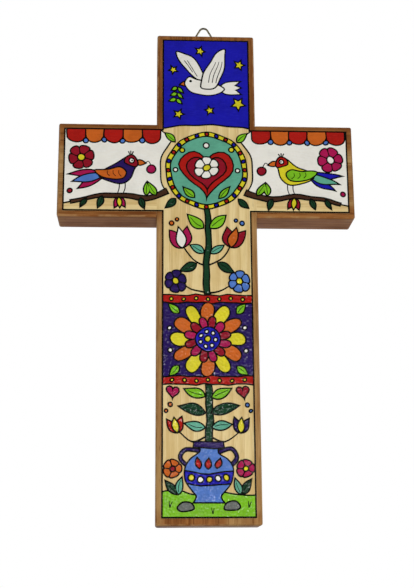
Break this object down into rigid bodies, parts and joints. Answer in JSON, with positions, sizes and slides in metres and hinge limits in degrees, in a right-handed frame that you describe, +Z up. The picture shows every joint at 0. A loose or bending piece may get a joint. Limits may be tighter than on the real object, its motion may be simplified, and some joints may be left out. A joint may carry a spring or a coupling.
{
  "type": "painted wall cross",
  "caption": "Flat wooden cross of half-lapped boards with a brown border and an enamelled folk picture on the front, hung by a wire ring hinged in a nailed strap on the back.",
  "frame": {"origin": "centre of the crossing, on the flat back of the crossbar", "axes": "+Z up along the upright, +Y out of the back towards the wall, -Y the way the painted front looks, +X to the right of someone facing the front"},
  "size_m": [0.149, 0.0205, 0.2647],
  "materials": {
    "stained_wood": "brown stain, satin, eased arrises",
    "varnished_wood": "bare pale wood under clear gloss varnish",
    "plated_steel": "dull zinc plate",
    "wire": "dull plated wire",
    "black_enamel": "hand-laid gloss enamel line",
    "deep_blue_enamel": "hand-laid gloss enamel",
    "light_blue_enamel": "hand-laid gloss enamel",
    "teal_enamel": "hand-laid gloss enamel",
    "green_enamel": "hand-laid gloss enamel",
    "dark_green_enamel": "hand-laid gloss enamel",
    "yellow_enamel": "hand-laid gloss enamel",
    "orange_enamel": "hand-laid gloss enamel",
    "red_enamel": "hand-laid gloss enamel",
    "crimson_enamel": "hand-laid gloss enamel",
    "magenta_enamel": "hand-laid gloss enamel",
    "purple_enamel": "hand-laid gloss enamel",
    "white_enamel": "hand-laid gloss enamel",
    "grey_enamel": "hand-laid gloss enamel",
    "brown_enamel": "hand-laid gloss enamel"
  },
  "bodies": {
    "cross": {"upright": "stained_wood", "crossbar": "stained_wood", "hanger_strap": "plated_steel", "hanger_nail": "plated_steel", "varnish_upright": "varnished_wood", "varnish_crossbar": "varnished_wood", "black_line": "black_enamel", "paint_deep_blue": "deep_blue_enamel", "paint_light_blue": "light_blue_enamel", "paint_teal": "teal_enamel", "paint_green": "green_enamel", "paint_dark_green": "dark_green_enamel", "paint_yellow": "yellow_enamel", "paint_orange": "orange_enamel", "paint_red": "red_enamel", "paint_crimson": "crimson_enamel", "paint_magenta": "magenta_enamel", "paint_purple": "purple_enamel", "paint_white": "white_enamel", "paint_grey": "grey_enamel", "paint_brown": "brown_enamel"},
    "ring": {"hanger_ring": "wire"}
  },
  "joints": [
    {"name": "ring_swing", "type": "hinge", "parent": "cross", "child": "ring", "pos_m": [0, 0.00105, 0.07075], "axis": [-1, 0, 0], "range_deg": [-7, 170]}
  ]
}
